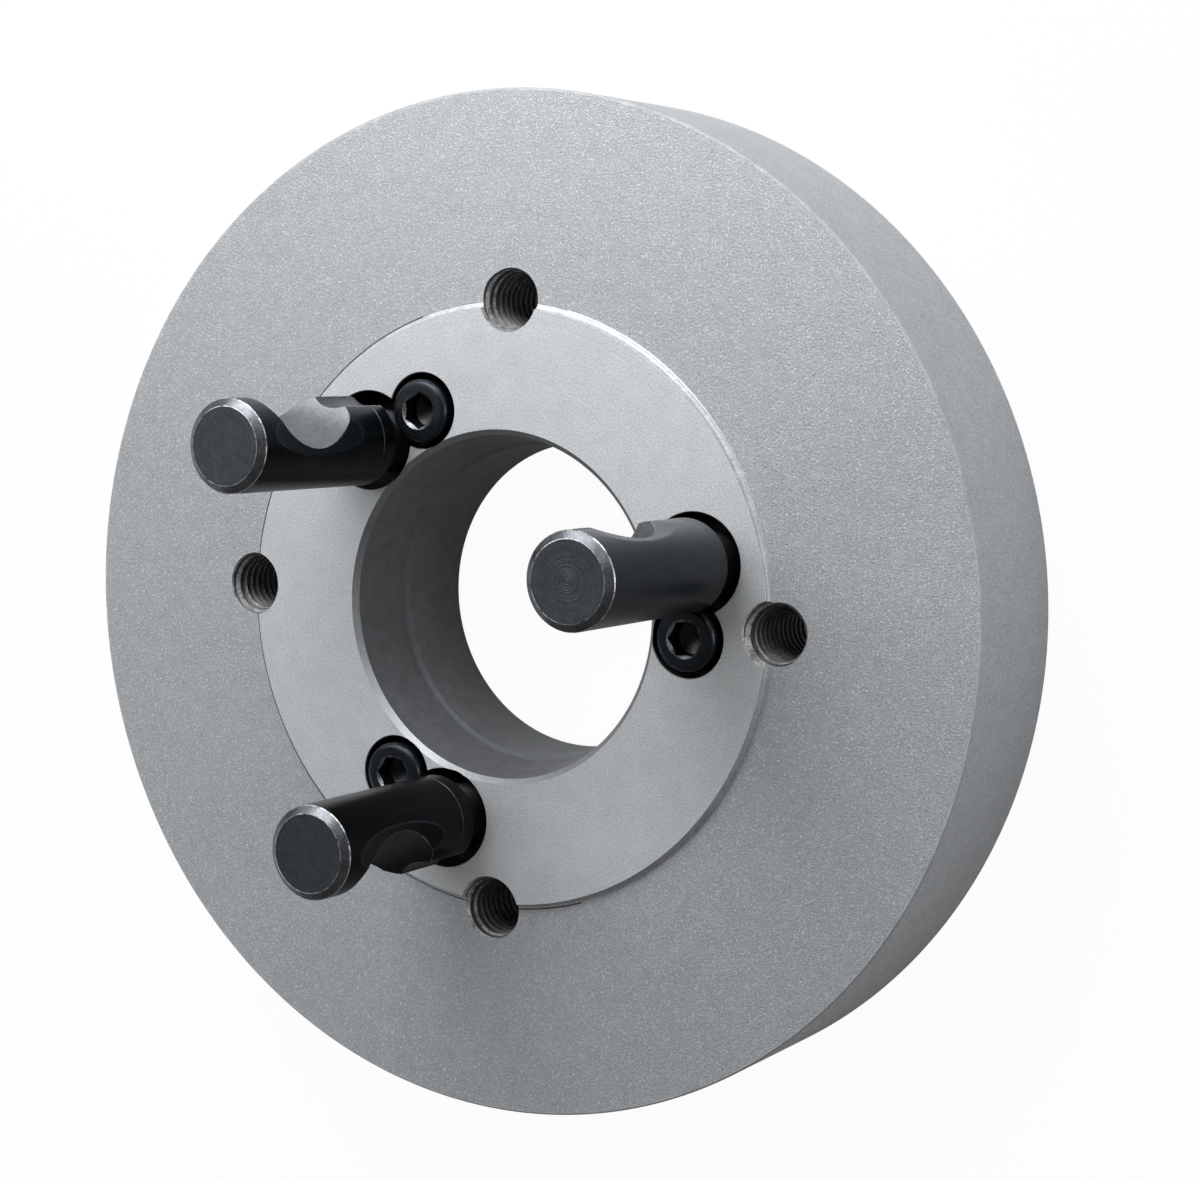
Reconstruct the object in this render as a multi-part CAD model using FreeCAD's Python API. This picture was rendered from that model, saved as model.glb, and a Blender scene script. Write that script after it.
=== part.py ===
import FreeCAD, Part
import math
import os

# Chuck backplate for a camlock spindle nose: one turned plate, three cam studs
# and the three socket head screws that lock them. The plate lies on its chuck
# side, the spindle side faces +Z, and the first tapped hole is on the X axis.

# short taper that seats on the spindle nose, and the plain bore behind it
taper_mouth_d = 53.975
taper_half_angle = 7.125
taper_depth = 12.0
mouth_chamfer = 0.76
rear_bore_d = taper_mouth_d - 3.975

# seats for the cam studs, a thin land away from the taper's mouth
stud_count = 3
stud_first_angle = 15.5
pocket_d = 15.7
pocket_depth = 6.5
bore_land = 0.48
stud_circle_d = taper_mouth_d + pocket_d + 2 * bore_land
stud_thread_d = 10.0
stud_hole_depth = 22.0

# seats for the lock screws, just inside the stud circle
lock_inset = 1.75
lock_circle_d = stud_circle_d - 2 * lock_inset
lock_first_angle = -3.0
lock_seat_d = 12.0
lock_seat_depth = 4.9
lock_thread_d = 6.0
lock_hole_depth = 19.0

# turned plate; the ring is measured at its top, and its foot spreads outward
outer_d = 160.0
rim_thickness = 26.4
rim_chamfer = 0.5
ring_land = 3.43
ring_d = stud_circle_d + pocket_d + 2 * ring_land
ring_height = 1.05
ring_foot = 0.75

# tapped holes that straddle the ring edge, for the screws into the chuck
tapped_count = 4
tapped_outset = 1.2
tapped_circle_d = ring_d + 2 * tapped_outset
tapped_drill_d = 8.5
tapped_mouth_d = 10.0
countersink_half_angle = 30.0

# cam stud, measured along its axis from the free end
stud_d = 14.25
stud_body_length = 34.4
stud_shank_length = 17.0
stud_tip_chamfer = 0.9
stud_tip_face_d = 11.5
notch_r = 11.2
notch_from_tip = 14.7
notch_floor = 1.07
relief_r = 80.0
relief_depth = 0.77
relief_spread = 62.0
flute_r = 5.2
flute_floor = 5.6

# how far each stud stands out of the ring face and how its notch is turned
stud_1_stand_out = 37.0
stud_2_stand_out = 36.7
stud_3_stand_out = 36.4
stud_stand_out = (stud_1_stand_out, stud_2_stand_out, stud_3_stand_out)
stud_turn = (-57.3, 120.7, 40.7)
stud_place = (1, 0, 2)

# lock screw
screw_head_d = 10.0
screw_head_height = 6.0
screw_shank_length = 12.0
screw_head_chamfer = 0.5
socket_flats = 5.0
socket_depth = 3.2

# fits
thread_clearance = 0.03

ring_face = rim_thickness + ring_height
up = FreeCAD.Vector(0, 0, 1)
centre = FreeCAD.Vector(0, 0, 0)


def point(x, y, z):
    return FreeCAD.Vector(x, y, z)


def tan(degrees):
    return math.tan(math.radians(degrees))


def around(shape, degrees):
    """A copy of the shape turned about the plate axis."""
    turned = shape.copy()
    turned.rotate(centre, up, degrees)
    return turned


def revolved(corners):
    """A solid turned from the (radius, height) corners of its half section."""
    points = [point(r, 0, z) for r, z in corners]
    face = Part.Face(Part.makePolygon(points + points[:1]))
    return face.revolve(centre, up, 360.0)


def blind_hole(radius, depth):
    """A blind hole down from the ring face."""
    return Part.makeCylinder(radius, depth, point(0, 0, ring_face - depth))


def plate_blank():
    """The plate as it leaves the lathe."""
    outer_r = outer_d / 2
    ring_r = ring_d / 2
    rear_r = rear_bore_d / 2
    slope = tan(taper_half_angle)
    taper_end_r = taper_mouth_d / 2 - taper_depth * slope
    mouth_r = taper_mouth_d / 2 + mouth_chamfer
    chamfer = mouth_chamfer / (1 - slope)
    taper_foot = ring_face - taper_depth
    corners = [
        (ring_r, ring_face),
        (mouth_r, ring_face),
        (mouth_r - chamfer, ring_face - chamfer),
        (taper_end_r, taper_foot),
        (rear_r, taper_foot - (taper_end_r - rear_r)),
        (rear_r, 0),
        (outer_r, 0),
        (outer_r, rim_thickness - rim_chamfer),
        (outer_r - rim_chamfer, rim_thickness),
        (ring_r + ring_foot, rim_thickness),
    ]
    return revolved(corners)


def tapped_hole():
    """One through hole with its countersunk mouth, on the X axis."""
    wall = Part.makeCylinder(tapped_drill_d / 2, ring_face)
    slope = tan(countersink_half_angle)
    low = rim_thickness - (tapped_mouth_d - tapped_drill_d) / 2 / slope
    high_r = tapped_mouth_d / 2 + ring_height * slope
    mouth = Part.makeCone(tapped_drill_d / 2, high_r, ring_face - low, point(0, 0, low))
    hole = wall.fuse(mouth)
    hole.translate(point(tapped_circle_d / 2, 0, 0))
    return hole


def stud_seat():
    """Round pocket with the blind threaded hole for one stud, on the X axis."""
    pocket = blind_hole(pocket_d / 2, pocket_depth)
    seat = pocket.fuse(blind_hole(stud_thread_d / 2, stud_hole_depth))
    seat.translate(point(stud_circle_d / 2, 0, 0))
    return seat


def lock_seat():
    """Counterbore with the blind threaded hole for one lock screw, on the X axis."""
    counterbore = blind_hole(lock_seat_d / 2, lock_seat_depth)
    seat = counterbore.fuse(blind_hole(lock_thread_d / 2, lock_hole_depth))
    seat.translate(point(lock_circle_d / 2, 0, 0))
    return seat


def backplate():
    """The turned plate with every hole cut in it."""
    plate = plate_blank()
    cutters = []
    for i in range(tapped_count):
        cutters.append(around(tapped_hole(), 360.0 / tapped_count * i))
    for i in range(stud_count):
        step = 360.0 / stud_count * i
        cutters.append(around(stud_seat(), stud_first_angle + step))
        cutters.append(around(lock_seat(), lock_first_angle + step))
    for cutter in cutters:
        plate = plate.cut(cutter)
    return plate


def stud_blank():
    """The turned stud, free end at height zero and the shank below it."""
    body_r = stud_d / 2
    shank_r = stud_thread_d / 2 - thread_clearance
    foot = -stud_body_length
    end = foot - stud_shank_length
    corners = [
        (0, 0),
        (stud_tip_face_d / 2, 0),
        (body_r, -stud_tip_chamfer),
        (body_r, foot),
        (shank_r, foot),
        (shank_r, end),
        (0, end),
    ]
    return revolved(corners)


def cam_notch():
    """Round-bottomed notch across the stud, opening toward +X."""
    start = point(notch_floor + notch_r, -stud_d, -notch_from_tip)
    return Part.makeCylinder(notch_r, 2 * stud_d, start, point(0, 1, 0))


def side_relief(degrees):
    """Shallow relief beside the notch, a large round cutter across the stud."""
    start = point(stud_d / 2 - relief_depth + relief_r, -stud_d, -notch_from_tip)
    cutter = Part.makeCylinder(relief_r, 2 * stud_d, start, point(0, 1, 0))
    return around(cutter, degrees)


def lock_flute():
    """Round groove along the stud below the notch, where the lock screw head fits."""
    start = point(flute_floor + flute_r, 0, -stud_body_length)
    return Part.makeCylinder(flute_r, stud_body_length - notch_from_tip, start)


def cam_stud(number):
    """One stud, finished and stood in its own seat."""
    stud = stud_blank()
    for cutter in (cam_notch(), side_relief(relief_spread), side_relief(-relief_spread), lock_flute()):
        stud = stud.cut(cutter)
    angle = stud_first_angle + 360.0 / stud_count * stud_place[number]
    stud = around(stud, stud_turn[number])
    stud.translate(point(stud_circle_d / 2, 0, ring_face + stud_stand_out[number]))
    return around(stud, angle)


def hexagon(flats, height, bottom):
    """A hexagonal prism with one corner on the X axis."""
    corner_r = flats / math.sqrt(3)
    corners = []
    for i in range(7):
        turn = math.radians(60 * i)
        corners.append(point(corner_r * math.cos(turn), corner_r * math.sin(turn), bottom))
    return Part.Face(Part.makePolygon(corners)).extrude(point(0, 0, height))


def cap_screw(number):
    """One lock screw, head seated on the floor of its counterbore."""
    head_r = screw_head_d / 2
    shank_r = lock_thread_d / 2 - thread_clearance
    corners = [
        (0, screw_head_height),
        (head_r - screw_head_chamfer, screw_head_height),
        (head_r, screw_head_height - screw_head_chamfer),
        (head_r, 0),
        (shank_r, 0),
        (shank_r, -screw_shank_length),
        (0, -screw_shank_length),
    ]
    socket = hexagon(socket_flats, socket_depth, screw_head_height - socket_depth)
    screw = revolved(corners).cut(socket)
    angle = lock_first_angle + 360.0 / stud_count * stud_place[number]
    screw.translate(point(lock_circle_d / 2, 0, ring_face - lock_seat_depth))
    return around(screw, angle)


def main():
    os.makedirs("parts", exist_ok=True)
    pieces = {"backplate": backplate()}
    for number in range(stud_count):
        pieces["cam_stud_%d" % (number + 1)] = cam_stud(number)
        pieces["cap_screw_%d" % (number + 1)] = cap_screw(number)
    for name, shape in pieces.items():
        shape.exportStep("parts/" + name + ".step")
        box = shape.BoundBox
        size = (box.XLength, box.YLength, box.ZLength)
        print(name, shape.isValid(), len(shape.Solids), "size", [round(v, 3) for v in size])


main()
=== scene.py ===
import bpy
import bmesh
import math
from mathutils import Matrix, Vector


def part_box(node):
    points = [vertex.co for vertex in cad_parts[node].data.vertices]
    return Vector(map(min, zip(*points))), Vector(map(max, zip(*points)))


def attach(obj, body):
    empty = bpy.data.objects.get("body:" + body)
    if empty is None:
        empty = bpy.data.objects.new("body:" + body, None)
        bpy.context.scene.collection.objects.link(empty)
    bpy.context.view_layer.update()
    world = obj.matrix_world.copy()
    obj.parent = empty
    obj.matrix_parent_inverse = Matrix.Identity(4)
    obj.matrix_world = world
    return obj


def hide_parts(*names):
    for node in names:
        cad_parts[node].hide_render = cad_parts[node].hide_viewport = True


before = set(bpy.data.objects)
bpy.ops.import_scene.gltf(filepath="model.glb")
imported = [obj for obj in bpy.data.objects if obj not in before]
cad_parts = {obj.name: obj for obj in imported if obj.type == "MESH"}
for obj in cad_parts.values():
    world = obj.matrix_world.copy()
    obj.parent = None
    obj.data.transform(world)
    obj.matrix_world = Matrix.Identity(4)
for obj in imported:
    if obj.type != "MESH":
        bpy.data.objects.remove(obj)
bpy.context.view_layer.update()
mm = 0.001  # sizes below are in millimetres, as on a drawing
smallestEdge = 2e-7  # metres; shorter edges left by a cut are dissolved


# small mesh helpers

def makeMesh(name, points, faces):
    mesh = bpy.data.meshes.new(name)
    mesh.from_pydata([[c * mm for c in p] for p in points], [], faces)
    piece = bpy.data.objects.new(name, mesh)
    bpy.context.scene.collection.objects.link(piece)
    bm = bmesh.new()
    bm.from_mesh(mesh)
    bmesh.ops.remove_doubles(bm, verts=bm.verts, dist=1e-8)
    openEdges = [e for e in bm.edges if e.is_boundary]
    if openEdges:  # the two ends of a thread
        ends = bmesh.ops.holes_fill(bm, edges=openEdges, sides=0)["faces"]
        bmesh.ops.poke(bm, faces=ends)
    bmesh.ops.recalc_face_normals(bm, faces=bm.faces)
    bm.to_mesh(mesh)
    bm.free()
    return piece


def turned(name, outline, steps, wobble=None):
    # spins a closed outline of (radius, height) corners round Z
    points, rings = [], []
    for r, z in outline:
        if r < 1e-6:
            rings.append([len(points)])
            points.append((0, 0, z))
            continue
        rings.append(list(range(len(points), len(points) + steps)))
        for i in range(steps):
            a = 2 * math.pi * i / steps
            rr = r + wobble(r, z, a) if wobble else r
            points.append((rr * math.cos(a), rr * math.sin(a), z))
    faces = []
    for one, two in zip(rings, rings[1:] + rings[:1]):
        if len(one) == 1 and len(two) == 1:
            continue
        for i in range(steps):
            j = (i + 1) % steps
            corners = [one[i % len(one)], one[j % len(one)], two[j % len(two)], two[i % len(two)]]
            faces.append(list(dict.fromkeys(corners)))
    return makeMesh(name, points, faces)


def arc(cr, cz, r, start, end, steps):
    # corners along an arc of an outline, angles in degrees from outward towards up
    angles = [math.radians(start + (end - start) * i / steps) for i in range(steps + 1)]
    return [(cr + r * math.cos(a), cz + r * math.sin(a)) for a in angles]


def threadBar(name, thread, low, high, steps):
    # right-hand helical ridge on its core; it is a screw, or the tap that cuts a nut thread
    pitch = thread["pitch"]
    flank = (pitch - thread["crest"] - thread["root"]) / 2
    section = [(0, thread["rootR"]), (thread["root"], thread["rootR"]),
               (thread["root"] + flank, thread["crestR"]), (pitch - flank, thread["crestR"])]
    count = int((high - low) / pitch * steps)
    points, faces = [], []
    for k in range(count + 1):
        a = 2 * math.pi * k / steps
        for dz, r in section:
            points.append((r * math.cos(a), r * math.sin(a), low + pitch * k / steps + dz))
    for k in range(count):
        here, there = 4 * k, 4 * (k + 1)
        for p in range(3):
            faces.append([here + p, there + p, there + p + 1, here + p + 1])
        if k + 1 + steps <= count:
            faces.append([here + 3, there + 3, there + 4 * steps, here + 4 * steps])
    return makeMesh(name, points, faces)


def bar(name, r, length, steps):
    return turned(name, [(0, -length / 2), (r, -length / 2), (r, length / 2), (0, length / 2)], steps)


def place(piece, x, y, z, spin=0.0):
    piece.data.transform(Matrix.Translation((x * mm, y * mm, z * mm)) @ Matrix.Rotation(spin, 4, "Z"))
    return piece


def machine(piece, tool, operation="DIFFERENCE"):
    # cuts the tool out of the piece, or adds it, and clears the tool away
    step = piece.modifiers.new("step", "BOOLEAN")
    step.operation = operation
    step.solver = "MANIFOLD"
    step.object = tool
    seen = piece.evaluated_get(bpy.context.evaluated_depsgraph_get())
    result = bpy.data.meshes.new_from_object(seen)
    piece.modifiers.clear()
    piece.data = result
    bpy.data.objects.remove(tool)


def finishSurfaces(piece, finishes, regionOf, smoothUnder, bevelledEdges=()):
    # gives each face the finish of its region, and keeps a crisp edge between regions; bevelledEdges names
    # two regions, the finish of the bevel between them (edge wear on the notch and flute, a painted highlight
    # round the reliefs) and how wide it is
    mesh = piece.data
    mesh.materials.clear()
    order = list(finishes)
    for key in order:
        mesh.materials.append(finishes[key])
    bm = bmesh.new()
    bm.from_mesh(mesh)
    bmesh.ops.dissolve_degenerate(bm, dist=smallestEdge, edges=bm.edges)
    for face in bm.faces:
        face.smooth = True
        face.material_index = order.index(regionOf(face.calc_center_median() / mm, face.normal))
    for one, two, finish, width in bevelledEdges:
        pair = {order.index(one), order.index(two)}
        reliefEdgePaintedHighlight = [e for e in bm.edges if {f.material_index for f in e.link_faces} == pair]
        bmesh.ops.bevel(bm, geom=reliefEdgePaintedHighlight, offset=width * mm, offset_type="OFFSET", segments=1, profile=0.5,
                        affect="EDGES", clamp_overlap=False, material=order.index(finish))
    limit = math.radians(smoothUnder)
    for edge in bm.edges:
        if len(edge.link_faces) == 2:
            one, two = edge.link_faces
            edge.smooth = one.material_index == two.material_index and edge.calc_face_angle(0) < limit
    bm.to_mesh(mesh)
    bm.free()
    print(piece.name, len(mesh.polygons), "faces")


# finishes

toneSpread = 0.25  # tone either side of the middle that runs from the dark colour to the light one
noiseRange = (0.3, 0.7)  # where most values of a noise lie
fleckSoftness = 0.05
mottleHeight = 0.3  # height of the mottle against the grain's
bumpStrength = 0.5


def metal(name, look):
    # look: dark and light colour, metallic, roughness low and high, the sizes of grain and mottle and
    # how much each one tones the colour, and the depth of the bumps they make
    material = bpy.data.materials.new(name)
    material.use_nodes = True
    tree = material.node_tree
    shader = tree.nodes["Principled BSDF"]
    link = tree.links.new
    coords = tree.nodes.new("ShaderNodeTexCoord").outputs["Object"]

    def noise(size, detail, source=coords):
        node = tree.nodes.new("ShaderNodeTexNoise")
        node.inputs["Scale"].default_value = 1 / (size * mm)
        node.inputs["Detail"].default_value = detail
        link(source, node.inputs["Vector"])
        return node.outputs["Fac"]

    def calc(operation, one, two, clamp=False):
        node = tree.nodes.new("ShaderNodeMath")
        node.operation = operation
        node.use_clamp = clamp
        for socket, value in zip(node.inputs, (one, two)):
            if isinstance(value, (int, float)):
                socket.default_value = value
            else:
                link(value, socket)
        return node.outputs[0]

    def remap(value, fromLow, fromHigh, toLow, toHigh):
        node = tree.nodes.new("ShaderNodeMapRange")
        for socket, v in zip(list(node.inputs)[1:5], (fromLow, fromHigh, toLow, toHigh)):
            socket.default_value = v
        link(value, node.inputs[0])
        return node.outputs[0]

    def blend(amount, one, two):
        node = tree.nodes.new("ShaderNodeMix")
        node.data_type = "RGBA"
        link(amount, node.inputs["Factor"])
        for socket, value in ((node.inputs[6], one), (node.inputs[7], two)):  # the node's colour sockets
            if isinstance(value, tuple):
                socket.default_value = (*value, 1)
            else:
                link(value, socket)
        return node.outputs[2]

    grain = noise(look["grain"], 2)
    mottle = noise(look["mottle"], 3)
    height = calc("ADD", grain, calc("MULTIPLY", mottle, mottleHeight))
    tone = calc("ADD", calc("MULTIPLY", grain, look["grainTone"]),
                calc("MULTIPLY", mottle, look["mottleTone"]))
    middle = (look["grainTone"] + look["mottleTone"]) / 2
    if "lines" in look:  # tool marks: circles round the axis, or bands along it
        split = tree.nodes.new("ShaderNodeSeparateXYZ")
        link(coords, split.inputs[0])
        flat = calc("SQRT", calc("ADD", calc("MULTIPLY", split.outputs[0], split.outputs[0]),
                                 calc("MULTIPLY", split.outputs[1], split.outputs[1])), 0)
        join = tree.nodes.new("ShaderNodeCombineXYZ")
        link(flat, join.inputs[0])
        link(split.outputs[2], join.inputs[1])
        marks = noise(look["lines"], 2, join.outputs[0])
        height = calc("ADD", height, calc("MULTIPLY", marks, look["lineHeight"]))
        tone = calc("ADD", tone, calc("MULTIPLY", marks, look["lineTone"]))
        middle += look["lineTone"] / 2
    colour = blend(remap(tone, middle - toneSpread, middle + toneSpread, 0, 1), look["dark"], look["light"])
    if "sparkle" in look:  # bright flecks between the grains
        above = 1 - look["sparkle"]
        fleck = remap(noise(look["sparkleSize"], 0), above, above + fleckSoftness, 0, 1)
        colour = blend(fleck, colour, look["sparkleColour"])
    link(colour, shader.inputs["Base Color"])
    rough = look["roughness"]
    link(remap(grain, *noiseRange, rough[0], rough[1]), shader.inputs["Roughness"])
    shader.inputs["Metallic"].default_value = look["metallic"]
    shader.inputs["Specular IOR Level"].default_value = look.get("specular", 0.5)
    bump = tree.nodes.new("ShaderNodeBump")
    bump.inputs["Strength"].default_value = bumpStrength
    bump.inputs["Distance"].default_value = look["depth"] * mm
    link(height, bump.inputs["Height"])
    link(bump.outputs[0], shader.inputs["Normal"])
    return material


plateLooks = {
    "blasted": dict(dark=(0.34, 0.355, 0.37), light=(0.6, 0.625, 0.65), metallic=0.6,
                    roughness=(0.46, 0.6), grain=0.27, mottle=3.0, grainTone=0.75, mottleTone=0.16,
                    depth=0.1, sparkle=0.34, sparkleSize=0.25, sparkleColour=(0.66, 0.685, 0.71)),
    "rim": dict(dark=(0.29, 0.302, 0.315), light=(0.67, 0.698, 0.725), metallic=0.6,
                roughness=(0.46, 0.6), grain=0.3, mottle=3.0, grainTone=0.75, mottleTone=0.14, depth=0.07,
                sparkle=0.32, sparkleSize=0.25, sparkleColour=(0.64, 0.665, 0.69)),
    "rimEdge": dict(dark=(0.3, 0.312, 0.325), light=(0.5, 0.52, 0.54), metallic=0.3,
                    roughness=(0.55, 0.65), grain=0.3, mottle=3.0, grainTone=0.75, mottleTone=0.4,
                    depth=0.05),
    "wornEdge": dict(dark=(0.42, 0.437, 0.454), light=(0.85, 0.87, 0.89), metallic=0.6,
                     roughness=(0.4, 0.5), grain=0.3, mottle=3.0, grainTone=0.8, mottleTone=0.9,
                     depth=0.03),
    "ring": dict(dark=(0.48, 0.497, 0.513), light=(0.87, 0.9, 0.928), metallic=0.6,
                 roughness=(0.44, 0.55), grain=0.28, mottle=4.0, grainTone=0.7, mottleTone=0.16,
                 depth=0.03, lines=0.5, lineHeight=0.5, lineTone=0.12),
    "cove": dict(dark=(0.36, 0.374, 0.387), light=(0.66, 0.685, 0.708), metallic=0.6,
                 roughness=(0.5, 0.6), grain=0.3, mottle=1.6, grainTone=0.8, mottleTone=0.5, depth=0.05),
    # painted highlight for the foot of the ring on its lit side
    "coveEdgePaintedHighlight": dict(dark=(0.5, 0.515, 0.53), light=(0.95, 0.96, 0.97), metallic=0.8,
                     roughness=(0.32, 0.45), grain=0.3, mottle=2.0, grainTone=0.8, mottleTone=0.5,
                     depth=0.015),
    # painted shade for the groove at the foot of the ring on its far side
    "seamPaintedShade": dict(dark=(0.04, 0.042, 0.045), light=(0.16, 0.167, 0.174), metallic=0.5,
                 roughness=(0.5, 0.6), grain=0.3, mottle=2.0, grainTone=0.6, mottleTone=0.5, depth=0.02),
    "bore": dict(dark=(0.13, 0.138, 0.147), light=(0.26, 0.272, 0.286), metallic=0.6,
                 roughness=(0.42, 0.54), grain=0.3, mottle=2.5, grainTone=0.6, mottleTone=0.4, depth=0.02,
                 lines=0.4, lineHeight=0.6, lineTone=0.15),
    "rearBore": dict(dark=(0.16, 0.169, 0.179), light=(0.29, 0.304, 0.319), metallic=0.6,
                     roughness=(0.45, 0.55), grain=0.3, mottle=3.0, grainTone=0.6, mottleTone=0.4,
                     depth=0.02, lines=0.4, lineHeight=0.6, lineTone=0.15),
    "chamfer": dict(dark=(0.25, 0.261, 0.272), light=(0.44, 0.456, 0.472), metallic=0.6,
                    roughness=(0.36, 0.46), grain=0.3, mottle=2.0, grainTone=0.6, mottleTone=0.3,
                    depth=0.01),
    # painted light in the tapped holes: thread, flank and crest are one metal in a shaded, a lit and a
    # highlighted copy
    "thread": dict(dark=(0.012, 0.013, 0.015), light=(0.09, 0.094, 0.099), metallic=0.3,
                   roughness=(0.35, 0.5), grain=0.25, mottle=1.2, grainTone=0.6, mottleTone=0.4,
                   depth=0.02),
    "flank": dict(dark=(0.015, 0.016, 0.018), light=(0.13, 0.135, 0.14), metallic=0.4,
                  roughness=(0.35, 0.5), grain=0.25, mottle=1.2, grainTone=0.6, mottleTone=0.4,
                  depth=0.02),
    "crest": dict(dark=(0.3, 0.308, 0.316), light=(0.95, 0.955, 0.96), metallic=0.4,
                  roughness=(0.3, 0.42), grain=0.25, mottle=1.0, grainTone=0.6, mottleTone=0.6,
                  depth=0.02),
    "mouth": dict(dark=(0.2, 0.208, 0.216), light=(0.93, 0.935, 0.94), metallic=0.5,
                  roughness=(0.34, 0.46), grain=0.4, mottle=1.3, grainTone=0.8, mottleTone=0.9,
                  depth=0.08),
    # painted shade: near black for the shade inside the pockets round the studs and screws
    "pocketPaintedShade": dict(dark=(0.012, 0.014, 0.016), light=(0.03, 0.033, 0.037), metallic=0.2,
                   roughness=(0.45, 0.55), specular=0.25, grain=0.3, mottle=2.0, grainTone=0.4,
                   mottleTone=0.2, depth=0.02),
    "back": dict(dark=(0.38, 0.395, 0.41), light=(0.54, 0.56, 0.58), metallic=0.7, roughness=(0.36, 0.46),
                 grain=0.3, mottle=6.0, grainTone=0.3, mottleTone=0.2, depth=0.02, lines=0.25,
                 lineHeight=1.2, lineTone=0.4),
}
plateFinish = {key: metal("plate_" + key, look) for key, look in plateLooks.items()}

studLooks = {
    "flute": dict(dark=(0.006, 0.008, 0.01), light=(0.03, 0.035, 0.04), metallic=0.3,
                  roughness=(0.34, 0.46), specular=0.3, grain=0.3, mottle=1.5, grainTone=0.6,
                  mottleTone=0.5, depth=0.02),
    "end": dict(dark=(0.022, 0.028, 0.034), light=(0.075, 0.084, 0.094), metallic=0.4,
                roughness=(0.42, 0.54), specular=0.4, grain=0.3, mottle=2.0, grainTone=0.6,
                mottleTone=0.4, depth=0.03, lines=0.28, lineHeight=0.9, lineTone=0.5),
    "chamfer": dict(dark=(0.055, 0.062, 0.07), light=(0.19, 0.202, 0.215), metallic=0.9,
                    roughness=(0.28, 0.36), grain=0.3, mottle=1.6, grainTone=0.45, mottleTone=0.6,
                    depth=0.015),
    "edge": dict(dark=(0.06, 0.067, 0.075), light=(0.78, 0.79, 0.8), metallic=0.9, roughness=(0.3, 0.4),
                 grain=0.3, mottle=1.4, grainTone=0.9, mottleTone=1.2, depth=0.02),
    # edge wear along the studs' cut edges
    "wearAndPaintedGlint": dict(dark=(0.004, 0.005, 0.006), light=(0.34, 0.35, 0.36), metallic=0.9, roughness=(0.3, 0.4),
                 grain=0.3, mottle=1.6, grainTone=0.7, mottleTone=1.1, depth=0.01),
    # painted highlight along the rounded edge of each relief
    "reliefEdgePaintedHighlight": dict(dark=(0.002, 0.003, 0.004), light=(0.024, 0.029, 0.034), metallic=0.6,
                   roughness=(0.26, 0.34), specular=0.2, grain=0.3, mottle=3.0, grainTone=0.5,
                   mottleTone=1.3, depth=0.01),
    "witness": dict(dark=(0.012, 0.015, 0.018), light=(0.09, 0.098, 0.106), metallic=0.8,
                    roughness=(0.3, 0.4), specular=0.3, grain=0.3, mottle=2.4, grainTone=0.5,
                    mottleTone=0.9, depth=0.01),
    "shank": dict(dark=(0.005, 0.006, 0.008), light=(0.02, 0.023, 0.027), metallic=0.3,
                  roughness=(0.35, 0.45), specular=0.3, grain=0.3, mottle=1.0, grainTone=0.5,
                  mottleTone=0.3, depth=0.01),
}
studFinish = {key: metal("stud_" + key, look) for key, look in studLooks.items()}
studLitAndShadedLooks = [  # painted light: each stud's notch, body and end are lighter or darker copies of the finish for how the light falls on that stud
    dict(notch=dict(dark=(0.1, 0.105, 0.11), light=(0.22, 0.229, 0.238), metallic=0.9,
                    roughness=(0.42, 0.52), grain=0.35, mottle=2.0, grainTone=0.6, mottleTone=0.4,
                    depth=0.06),
         body=dict(dark=(0.002, 0.0034, 0.0046), light=(0.009, 0.0125, 0.0155), metallic=0.8,
                   roughness=(0.3, 0.4), specular=0.1, grain=0.3, mottle=3.0, grainTone=0.6,
                   mottleTone=0.4, depth=0.012)),
    dict(notch=dict(dark=(0.12, 0.126, 0.132), light=(0.30, 0.312, 0.324), metallic=0.95,
                    roughness=(0.36, 0.46), grain=0.35, mottle=2.0, grainTone=0.7, mottleTone=0.4,
                    depth=0.04),
         body=dict(dark=(0.0015, 0.0028, 0.0042), light=(0.014, 0.019, 0.025), metallic=0.1,
                   roughness=(0.28, 0.38), specular=0.3, grain=0.3, mottle=3.0, grainTone=0.7,
                   mottleTone=0.4, depth=0.015)),
    dict(notch=dict(dark=(0.004, 0.006, 0.008), light=(0.02, 0.026, 0.032), metallic=0.8,
                    roughness=(0.36, 0.46), grain=0.35, mottle=2.0, grainTone=0.7, mottleTone=0.4,
                    depth=0.04),
         body=dict(dark=(0.0006, 0.0014, 0.0022), light=(0.0036, 0.006, 0.0084), metallic=0.8,
                   roughness=(0.3, 0.4), specular=0.05, grain=0.3, mottle=3.0, grainTone=0.6,
                   mottleTone=0.4, depth=0.012),
         end=dict(dark=(0.016, 0.02, 0.025), light=(0.055, 0.063, 0.072), metallic=0.4,
                  roughness=(0.42, 0.54), specular=0.35, grain=0.3, mottle=2.0, grainTone=0.6,
                  mottleTone=0.4, depth=0.03, lines=0.28, lineHeight=0.9, lineTone=0.5)),
]
studLitAndShadedFinish = [{key: metal("stud_%d_%s" % (n + 1, key), look) for key, look in looks.items()}
             for n, looks in enumerate(studLitAndShadedLooks)]
for own in studLitAndShadedFinish:  # the reliefs are as black as the body, and their rounded edges get a painted highlight
    own["relief"] = own["body"]

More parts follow.
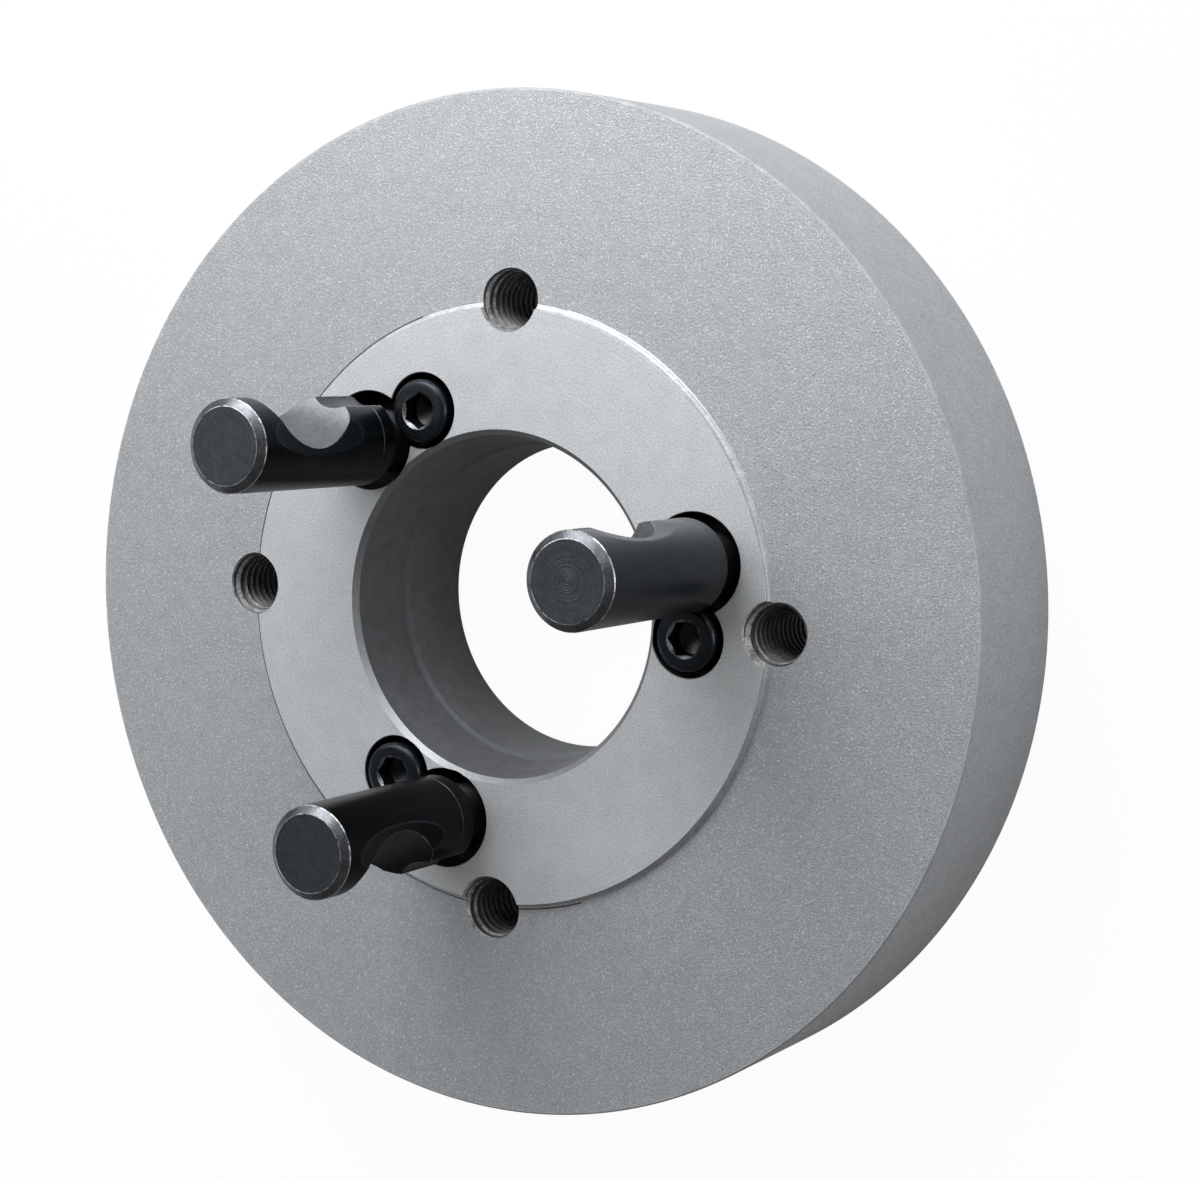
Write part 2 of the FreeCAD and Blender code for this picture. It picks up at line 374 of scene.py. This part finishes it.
screwLooks = {
    "head": dict(dark=(0.009, 0.012, 0.016), light=(0.03, 0.037, 0.044), metallic=0.7,
                 roughness=(0.24, 0.34), grain=0.3, mottle=1.5, grainTone=0.5, mottleTone=0.3,
                 depth=0.012),
    # painted shade: the socket is coloured darker than the head for the shade inside it
    "socket": dict(dark=(0.002, 0.003, 0.005), light=(0.012, 0.015, 0.02), metallic=0.3,
                   roughness=(0.25, 0.4), grain=0.3, mottle=1.0, grainTone=0.5, mottleTone=0.4,
                   depth=0.02),
    "socketMouth": dict(dark=(0.05, 0.055, 0.06), light=(0.4, 0.41, 0.42), metallic=0.9,
                        roughness=(0.28, 0.4), grain=0.3, mottle=1.0, grainTone=0.6, mottleTone=0.6,
                        depth=0.02),
}
screwFinish = {key: metal("screw_" + key, look) for key, look in screwLooks.items()}
print("finishes made")


# the turned plate

plate = {
    "ringR": 46.5975,
    "ringHeight": 1.05,
    "coveR": 0.72,
    "edgeBreak": 0.3,
    "seamWidth": 0.22,  # fine groove at the foot of the cove
    "seamDepth": 0.05,
    "ringBreak": 0.06,  # height of the ring's broken edge
    "rimRound": 0.3,
    "wornEdge": 0.1,
    "taperMouthR": 26.9875,
    "taperSlope": math.tan(math.radians(7.125)),
    "taperDepth": 12.0,
    "stepStart": 0.4,  # the step behind the taper starts this far before the taper's depth
    "stepLength": 1.5,
    "mouthChamfer": 0.76,
    "rearBoreR": 25.0,
    "pocketR": 7.85,
    "pocketDepth": 6.5,
    "studDrillR": 4.46,
    "studHoleDepth": 22.0,
    "studTapTop": 5.5,  # below the ring face, inside the pocket
    "seatR": 6.0,
    "seatDepth": 4.9,
    "screwDrillR": 2.46,
    "screwHoleDepth": 19.0,
    "screwTapTop": 4.0,
    "burr": 0.12,  # edge broken by hand round pockets and seats
    "tappedCount": 4,
    "tappedR": 47.7975,
    "tappedDrillR": 4.19,
    "tappedMouths": ((4.8, 5.22), (4.85, 5.05), (5.0, 5.3), (4.95, 5.3)),  # radius on the plate and the ring
    "tapStart": -3.1,  # each tap starts a little lower than the last and turned a little further
    "tapStartStep": 0.37,
    "tapTurnStep": 0.9,
    "steps": 288,
}
pointSlope = 0.6  # height of a drill's point over its radius
tapLift = 0.5  # a tap stops this far above the floor of a blind hole
threadPlay = 0.065  # a shank's thread sits this much higher than the hole's, clear of it
tapM10 = dict(pitch=1.5, crest=0.22, root=0.2, rootR=4.0, crestR=5.08)
tapM10fine = dict(pitch=1.0, crest=0.125, root=0.13, rootR=4.3, crestR=5.0)
tapM6 = dict(pitch=1.0, crest=0.125, root=0.13, rootR=2.3, crestR=3.0)

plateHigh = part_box("backplate")[1]
rimR = plateHigh.x / mm
ringFace = plateHigh.z / mm
rimFace = ringFace - plate["ringHeight"]


def centreOf(node):
    low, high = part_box(node)
    return (low.x + high.x) / 2 / mm, (low.y + high.y) / 2 / mm


studPlaces = [centreOf("cam_stud_%d" % n) for n in (1, 2, 3)]
screwPlaces = [centreOf("cap_screw_%d" % n) for n in (1, 2, 3)]
tappedHoles = []  # centre, radius of the mouth on the plate, and how fast the mouth widens upwards
for i, (mouthR, ringMouthR) in enumerate(plate["tappedMouths"]):
    a = 2 * math.pi * i / plate["tappedCount"]
    x, y = plate["tappedR"] * math.cos(a), plate["tappedR"] * math.sin(a)
    tappedHoles.append((x, y, mouthR, (ringMouthR - mouthR) / plate["ringHeight"]))


def plateBlank():
    p = plate
    e, c, w = p["edgeBreak"], p["rimRound"], p["wornEdge"]
    depth = p["mouthChamfer"] / (1 - p["taperSlope"])
    mouthR = p["taperMouthR"] + p["mouthChamfer"]
    footR = p["taperMouthR"] - p["taperDepth"] * p["taperSlope"]
    foot = ringFace - p["taperDepth"]
    coveEnd = p["ringR"] + p["coveR"]
    outline = [(coveEnd + p["seamWidth"], rimFace), (coveEnd + p["seamWidth"] / 2, rimFace - p["seamDepth"])]
    outline += arc(coveEnd, rimFace + p["coveR"], p["coveR"], 270, 184, 8)
    outline += [(p["ringR"] + 0.01, ringFace - p["ringBreak"]), (p["ringR"] - 0.04, ringFace)]
    outline += [(mouthR, ringFace), (mouthR - depth, ringFace - depth)]
    stepR = footR + p["stepStart"] * p["taperSlope"]
    for i in range(9):  # the step behind the taper runs out softly
        t = i / 8
        r = stepR + (p["rearBoreR"] - stepR) * t * t * (3 - 2 * t)
        outline.append((r, foot + p["stepStart"] - p["stepLength"] * t))
    outline += [(p["rearBoreR"], e), (p["rearBoreR"] + e, 0)]
    outline += [(rimR - e, 0), (rimR, e)]
    outline += arc(rimR - c, rimFace - c, c, 0, 90, 5) + [(rimR - c - w, rimFace)]
    return turned("backplate_iron", outline, p["steps"])


def holeTool(radius, depth, holeR, holeDepth):
    # one round recess with its broken edge and the blind drilled hole under it
    above, b, lead = 3.0, plate["burr"], 0.6
    outline = [(0, ringFace + above), (radius + b + above, ringFace + above), (radius, ringFace - b),
               (radius, ringFace - depth), (holeR + lead, ringFace - depth), (holeR, ringFace - depth - lead),
               (holeR, ringFace - holeDepth), (0, ringFace - holeDepth - holeR * pointSlope)]
    return turned("tool", outline, 128)


def buildPlate():
    p = plate
    piece = plateBlank()
    drillR, rise = p["tappedDrillR"], 4.0
    for i, (x, y, mouthR, slope) in enumerate(tappedHoles):
        outline = [(0, -2), (drillR + 2.5, -2), (drillR, 0.5), (drillR, rimFace - (mouthR - drillR) / slope),
                   (mouthR + rise * slope, rimFace + rise), (0, rimFace + rise)]
        machine(piece, place(turned("tool", outline, 96), x, y, 0))
        tap = threadBar("tap", tapM10, p["tapStart"] - p["tapStartStep"] * i, rimFace + rise, 72)
        machine(piece, place(tap, x, y, 0, p["tapTurnStep"] * i))
    for x, y in studPlaces:
        recess = holeTool(p["pocketR"], p["pocketDepth"], p["studDrillR"], p["studHoleDepth"])
        machine(piece, place(recess, x, y, 0))
        bottom = ringFace - p["studHoleDepth"] + tapLift
        machine(piece, place(threadBar("tap", tapM10fine, bottom, ringFace - p["studTapTop"], 48), x, y, 0))
    for x, y in screwPlaces:
        recess = holeTool(p["seatR"], p["seatDepth"], p["screwDrillR"], p["screwHoleDepth"])
        machine(piece, place(recess, x, y, 0))
        bottom = ringFace - p["screwHoleDepth"] + tapLift
        machine(piece, place(threadBar("tap", tapM6, bottom, ringFace - p["screwTapTop"], 40), x, y, 0))
    finishSurfaces(piece, plateFinish, plateRegion, 28)
    return piece


def plateRegion(at, normal):
    p = plate
    r = math.hypot(at.x, at.y)
    turn = math.degrees(math.atan2(at.y, at.x))
    sideways = abs(normal.y * at.x - normal.x * at.y) / r  # 0 on turned faces, up to 1 on a hole's wall
    flat = abs(normal.z) > 0.995
    if flat and at.z > ringFace - 0.02:
        return "ring"
    if flat and abs(at.z - rimFace) < 0.005:
        return "wornEdge" if r > rimR - p["rimRound"] - p["wornEdge"] else "blasted"
    if flat and at.z < 0.02:
        return "back"
    if r > rimR - p["rimRound"] - 0.01:
        return "rimEdge" if at.z > rimFace - p["rimRound"] else "rim" if at.z > p["edgeBreak"] else "chamfer"
    if -0.06 < r - p["ringR"] < p["coveR"] + 0.25 and at.z > rimFace - 0.06 and sideways < 0.3:
        if r < p["ringR"] + p["coveR"] - 0.03:
            return "cove"
        # painted highlight on the groove on the lit side of the ring, painted shade in the groove on the far
        # side, and the plain cove between them
        return "coveEdgePaintedHighlight" if -30 < turn < 78 else "cove" if -70 < turn < 110 else "seamPaintedShade"
    for x, y, mouthR, slope in tappedHoles:
        d = math.hypot(at.x - x, at.y - y)
        if d > p["tappedDrillR"] + 0.01 and abs(d - mouthR - slope * (at.z - rimFace)) < 0.02:
            return "mouth"
        # painted light: the drilled crests get a painted highlight, faces turned up a lighter tone and faces
        # turned down painted shade
        if d < tapM10["crestR"] + 0.02:
            wearAndPaintedGlint = d < p["tappedDrillR"] + 0.03 and abs(normal.z) < 0.1
            return "crest" if wearAndPaintedGlint else "flank" if normal.z > 0.3 else "thread"
    for x, y in studPlaces + screwPlaces:
        d = math.hypot(at.x - x, at.y - y)
        # painted shade inside the pockets
        if d < p["pocketR"] + 0.3 and (normal.z < 0.65 or at.z < ringFace - 1) and r > p["taperMouthR"] + 0.3:
            return "pocketPaintedShade"
        broken = 0.6 < normal.z < 0.8 and at.z > ringFace - 0.2
        if broken and p["taperMouthR"] + 0.9 < r < p["ringR"] - 0.2:
            return "chamfer"
    if r < p["taperMouthR"] + 0.9 and at.z > ringFace - 0.9:
        return "chamfer"
    return "bore" if at.z > ringFace - p["taperDepth"] + 0.35 else "rearBore"


platePiece = buildPlate()
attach(platePiece, "root")
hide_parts("backplate")
print("plate built")


# the cam studs

stud = {
    "bodyR": 7.125,
    "tipFaceR": 5.93,
    "tipChamfer": 0.9,
    "bodyLength": 34.4,
    "shankEnd": 51.4,
    "coreR": 4.3,  # under the shank's thread
    "shankTipR": 3.7,
    "shankLead": 0.4,  # plain length at the shank's end
    "threadEnd": 0.3,  # plain length under the shoulder
    "witness": 31.1,
    "witnessDepth": 0.12,
    "notchR": 11.2,
    "notchFromTip": 14.7,
    "notchFloor": 1.07,
    "reliefR": 80.0,
    "reliefDepth": 0.77,
    "reliefSpread": 62.0,
    "fluteR": 5.2,
    "fluteFloor": 5.6,
    "turns": (-57.3, 120.7, 40.7),  # how far each notch is turned from straight outward
    "faceRings": (0.15, 0.6, 0.15),  # how deep the lathe marks on each end are
    "grooves": (0.35, 0.72, 1.12, 1.5, 1.95, 2.5, 3.2, 4.1),  # radii of those marks
    "steps": 160,
    "acrossSteps": 360,
    "bevelledEdges": (("notch", "body", "wearAndPaintedGlint", 0.07), ("notch", "relief", "wearAndPaintedGlint", 0.07),
             ("flute", "body", "wearAndPaintedGlint", 0.06), ("relief", "body", "reliefEdgePaintedHighlight", 0.16)),
}
studThread = dict(pitch=1.0, crest=0.125, root=0.25, rootR=4.36, crestR=4.95)


def studBlank(ringDepth):
    s = stud
    w, c, b = s["witnessDepth"], s["tipChamfer"], s["bodyR"]
    outline = [(0, 0)]
    for r in s["grooves"]:  # left by the facing tool, fading outward
        outline += [(r - 0.08, 0), (r, -0.06 * ringDepth * (1 - r / 5)), (r + 0.08, 0)]
    outline += [(s["tipFaceR"] - 0.08, 0), (s["tipFaceR"] + 0.05, -0.035)]
    outline += [(b - 0.12, -c + 0.06), (b, -c - 0.08)]
    outline += [(b, -s["witness"] + w), (b - w, -s["witness"]), (b, -s["witness"] - w)]
    outline += [(b, 0.35 - s["bodyLength"]), (b - 0.35, -s["bodyLength"])]
    outline += [(s["coreR"], -s["bodyLength"]), (s["coreR"], 0.6 - s["shankEnd"])]
    outline += [(s["shankTipR"], -s["shankEnd"]), (0, -s["shankEnd"])]
    return turned("stud", outline, s["steps"])


def acrossTool(r, floor, spin):
    # a round cutter lying across the stud, its lowest line at the floor
    tool = bar("tool", r, 24, stud["acrossSteps"])
    lift = Matrix.Translation(((floor + r) * mm, 0, -stud["notchFromTip"] * mm))
    tool.data.transform(Matrix.Rotation(spin, 4, "Z") @ lift @ Matrix.Rotation(math.pi / 2, 4, "X"))
    return tool


def buildStud(number):
    s = stud
    node = "cam_stud_%d" % (number + 1)
    x, y = studPlaces[number]
    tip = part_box(node)[1].z / mm
    piece = studBlank(s["faceRings"][number])
    spin = math.atan2(y, x) + math.radians(s["turns"][number])
    start = ringFace - plate["studHoleDepth"] + tapLift
    bottom = tip - s["shankEnd"] + s["shankLead"]
    low = start + math.ceil(bottom - start) - tip
    shank = threadBar("shank", studThread, low + threadPlay, -s["bodyLength"] - s["threadEnd"], 48)
    shank.data.transform(Matrix.Rotation(-spin, 4, "Z"))  # in step with the hole's thread
    machine(piece, shank, "UNION")
    machine(piece, acrossTool(s["notchR"], s["notchFloor"], 0))
    lean = math.radians(s["reliefSpread"])
    for side in (1, -1):
        machine(piece, acrossTool(s["reliefR"], s["bodyR"] - s["reliefDepth"], side * lean))
    flute = bar("tool", s["fluteR"], s["bodyLength"] - s["notchFromTip"], 96)
    middle = -(s["bodyLength"] + s["notchFromTip"]) / 2
    machine(piece, place(flute, s["fluteFloor"] + s["fluteR"], 0, middle - 0.01))
    piece.name = "stud_%d_black" % (number + 1)
    finishSurfaces(piece, dict(studFinish, **studLitAndShadedFinish[number]), studRegion, 16, s["bevelledEdges"])
    piece.matrix_world = Matrix.Translation((x * mm, y * mm, tip * mm)) @ Matrix.Rotation(spin, 4, "Z")
    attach(piece, "root")
    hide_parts(node)


def studRegion(at, normal):
    s = stud
    r = math.hypot(at.x, at.y)
    if at.z < -s["bodyLength"] + 0.001 and r < 5.2:
        return "shank"
    if at.z > -0.06 and r < s["tipFaceR"] - 0.085:
        return "end"
    if at.z > -s["tipChamfer"] - 0.085:
        inner = r < s["tipFaceR"] + 0.055
        outer = at.z < -s["tipChamfer"] + 0.055
        return "edge" if inner or outer else "chamfer"
    notch = math.hypot(at.x - s["notchFloor"] - s["notchR"], at.z + s["notchFromTip"])
    if abs(notch - s["notchR"]) < 0.03:
        return "notch"
    flute = math.hypot(at.x - s["fluteFloor"] - s["fluteR"], at.y)
    if abs(flute - s["fluteR"]) < 0.03 and at.z < -s["notchFromTip"]:
        return "flute"
    for side in (1, -1):
        lean = side * math.radians(s["reliefSpread"])
        out = at.x * math.cos(lean) + at.y * math.sin(lean) - s["bodyR"] + s["reliefDepth"] - s["reliefR"]
        if abs(math.hypot(out, at.z + s["notchFromTip"]) - s["reliefR"]) < 0.02:
            return "relief"
    return "witness" if r < s["bodyR"] - 0.02 and abs(at.z + s["witness"]) < s["witnessDepth"] else "body"


for number in range(3):
    buildStud(number)
print("studs built")


# the lock screws

screw = {
    "headR": 5.0,
    "headHeight": 6.0,
    "topRound": 0.95,
    "knurls": 54,
    "knurlDepth": 0.14,
    "socketFlats": 5.0,
    "socketDepth": 3.2,
    "socketMouthR": 3.0,
    "shankLength": 12.0,
    "coreR": 2.3,
    "shankTipR": 1.9,
    "shankLead": 0.4,
    "threadEnd": 0.6,
    "spins": (31.0, 2.0, -1.0),  # how each hexagon happens to stand
}
screwThread = dict(pitch=1.0, crest=0.125, root=0.25, rootR=2.36, crestR=2.95)


def buildScrew(number):
    s = screw
    node = "cap_screw_%d" % (number + 1)
    x, y = screwPlaces[number]
    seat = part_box(node)[1].z / mm - s["headHeight"]
    top, r, t = s["headHeight"], s["headR"], s["topRound"]

    def knurl(rr, z, a):
        if rr < r - 0.02 or z < 0.3 or z > top - t - 0.2:
            return 0.0
        return -s["knurlDepth"] * (0.5 + 0.5 * math.cos(a * s["knurls"]))

    outline = [(0, top)] + arc(r - t, top - t, t, 90, 0, 7)
    outline += [(r, top - t - 0.25), (r, 0.35), (r - 0.3, 0), (s["coreR"], 0)]
    outline += [(s["coreR"], 0.5 - s["shankLength"]), (s["shankTipR"], -s["shankLength"])]
    outline += [(0, -s["shankLength"])]
    piece = turned("screw", outline, s["knurls"] * 4, knurl)
    start = ringFace - plate["screwHoleDepth"] + tapLift
    bottom = math.ceil(seat - s["shankLength"] + s["shankLead"] - start) + start - seat
    machine(piece, threadBar("shank", screwThread, bottom + threadPlay, -s["threadEnd"], 40), "UNION")
    corner = s["socketFlats"] / math.sqrt(3)
    floor = top - s["socketDepth"]
    hexagon = turned("tool", [(0, floor), (corner, floor), (corner, top + 1), (0, top + 1)], 6)
    hexagon.data.transform(Matrix.Rotation(math.radians(s["spins"][number]), 4, "Z"))
    machine(piece, hexagon)
    half = s["socketFlats"] / 2
    point = [(0, floor - half * 0.5), (half - 0.02, floor + 0.01), (0, floor + 0.5)]  # left by the drill
    machine(piece, turned("tool", point, 48))
    m = s["socketMouthR"]
    mouth = [(0, top - m * 0.9), (m, top), (m + 0.9, top + 1), (0, top + 1)]
    machine(piece, turned("tool", mouth, 72))
    piece.name = "lock_screw_%d_black" % (number + 1)
    finishSurfaces(piece, screwFinish, screwRegion, 26)
    piece.matrix_world = Matrix.Translation((x * mm, y * mm, seat * mm))
    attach(piece, "root")
    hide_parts(node)


def screwRegion(at, normal):
    r = math.hypot(at.x, at.y)
    depth = screw["headHeight"] - at.z
    if r < screw["socketMouthR"] and 0.6 < normal.z < 0.8 and depth < 1:
        return "socketMouth"
    # painted shade in the socket
    return "socket" if r < screw["socketFlats"] / math.sqrt(3) + 0.02 and 0.02 < depth < 5.5 else "head"


for number in range(3):
    buildScrew(number)
print("lock screws built")


# floor, light and camera

studio = {
    "floorSize": 12000.0,
    "floorGrey": 0.55,
    "floorGlow": 0.96,
    "backdropGloss": 0.12,  # how much of the white backdrop the metal mirrors
    "world": 0.02,
    "lamps": {
        "key": dict(at=(-400, 500, 600), size=800, power=4.0),
        "upper": dict(at=(200, 800, 300), size=400, power=2.1),
        "right": dict(at=(450, 500, 450), size=350, power=0.7),
        "low": dict(at=(900, 100, 200), size=400, power=2.1),
        "left": dict(at=(-700, -400, 350), size=500, power=0.8),
        "top": dict(at=(-80, 320, 260), size=260, power=1.12),
    },
    "lampAim": (0, 0, 20),
    "eye": (219.411, 46.592, 377.264),
    "aim": (18.188, 4.232, 27.45),
    "roll": 1.995,
    "lens": 80.089,
}


def seenWhite(tree):
    # 1 where the camera or a clear ray sees the backdrop, less where metal mirrors it
    rays = tree.nodes.new("ShaderNodeLightPath")
    mirrored = tree.nodes.new("ShaderNodeMath")
    mirrored.operation = "MULTIPLY_ADD"
    mirrored.inputs[1].default_value = studio["backdropGloss"]
    tree.links.new(rays.outputs["Is Glossy Ray"], mirrored.inputs[0])
    tree.links.new(rays.outputs["Is Camera Ray"], mirrored.inputs[2])
    total = tree.nodes.new("ShaderNodeMath")
    total.operation = "ADD"
    total.use_clamp = True
    tree.links.new(mirrored.outputs[0], total.inputs[0])
    tree.links.new(rays.outputs["Is Transmission Ray"], total.inputs[1])
    return total.outputs[0]


def buildFloor():
    half = studio["floorSize"] / 2
    corners = [(-half, -half, 0), (half, -half, 0), (half, half, 0), (-half, half, 0)]
    floor = makeMesh("floor", corners, [[0, 1, 2, 3]])
    material = bpy.data.materials.new("floor_paper")
    material.use_nodes = True
    tree = material.node_tree
    paper = tree.nodes["Principled BSDF"]
    grey = studio["floorGrey"]
    paper.inputs["Base Color"].default_value = (grey, grey, grey, 1)
    paper.inputs["Roughness"].default_value = 0.9
    paper.inputs["Specular IOR Level"].default_value = 0.1
    shade = tree.nodes.new("ShaderNodeBsdfDiffuse")
    shade.inputs["Color"].default_value = (0.9, 0.9, 0.9, 1)
    white = tree.nodes.new("ShaderNodeEmission")
    backdrop = tree.nodes.new("ShaderNodeMixShader")
    backdrop.inputs[0].default_value = studio["floorGlow"]
    mix = tree.nodes.new("ShaderNodeMixShader")
    link = tree.links.new
    link(shade.outputs[0], backdrop.inputs[1])
    link(white.outputs[0], backdrop.inputs[2])
    link(seenWhite(tree), mix.inputs[0])
    link(paper.outputs[0], mix.inputs[1])
    link(backdrop.outputs[0], mix.inputs[2])
    link(mix.outputs[0], tree.nodes["Material Output"].inputs[0])
    floor.data.materials.append(material)


def buildWorld():
    world = bpy.data.worlds.new("studio")
    bpy.context.scene.world = world
    world.use_nodes = True
    tree = world.node_tree
    room = tree.nodes["Background"]
    room.inputs["Color"].default_value = (0.94, 0.97, 1.0, 1)
    room.inputs["Strength"].default_value = studio["world"]
    white = tree.nodes.new("ShaderNodeBackground")
    white.inputs["Color"].default_value = (1, 1, 1, 1)
    mix = tree.nodes.new("ShaderNodeMixShader")
    tree.links.new(seenWhite(tree), mix.inputs[0])
    tree.links.new(room.outputs[0], mix.inputs[1])
    tree.links.new(white.outputs[0], mix.inputs[2])
    tree.links.new(mix.outputs[0], tree.nodes["World Output"].inputs[0])


def buildLamps():
    for name, lamp in studio["lamps"].items():
        data = bpy.data.lights.new(name, "AREA")
        data.size = lamp["size"] * mm
        data.energy = lamp["power"]
        light = bpy.data.objects.new(name, data)
        at = Vector(lamp["at"]) * mm
        light.location = at
        light.rotation_euler = (Vector(studio["lampAim"]) * mm - at).to_track_quat("-Z", "Y").to_euler()
        bpy.context.scene.collection.objects.link(light)


def buildCamera():
    data = bpy.data.cameras.new("camera")
    data.lens = studio["lens"]
    data.sensor_width = 36
    camera = bpy.data.objects.new("camera", data)
    eye, aim = Vector(studio["eye"]) * mm, Vector(studio["aim"]) * mm
    back = (eye - aim).normalized()
    right = Vector((0, 1, 0)).cross(back).normalized()
    up = back.cross(right)
    look = Matrix((right, up, back)).transposed()
    roll = Matrix.Rotation(math.radians(studio["roll"]), 3, "Z")
    camera.matrix_world = Matrix.Translation(eye) @ (look @ roll).to_4x4()
    data.clip_start, data.clip_end = 0.01, 30
    bpy.context.scene.collection.objects.link(camera)
    bpy.context.scene.camera = camera


buildFloor()
buildWorld()
buildLamps()
buildCamera()
bpy.context.scene.view_settings.view_transform = "Standard"
print("studio set")

bpy.context.view_layer.update()
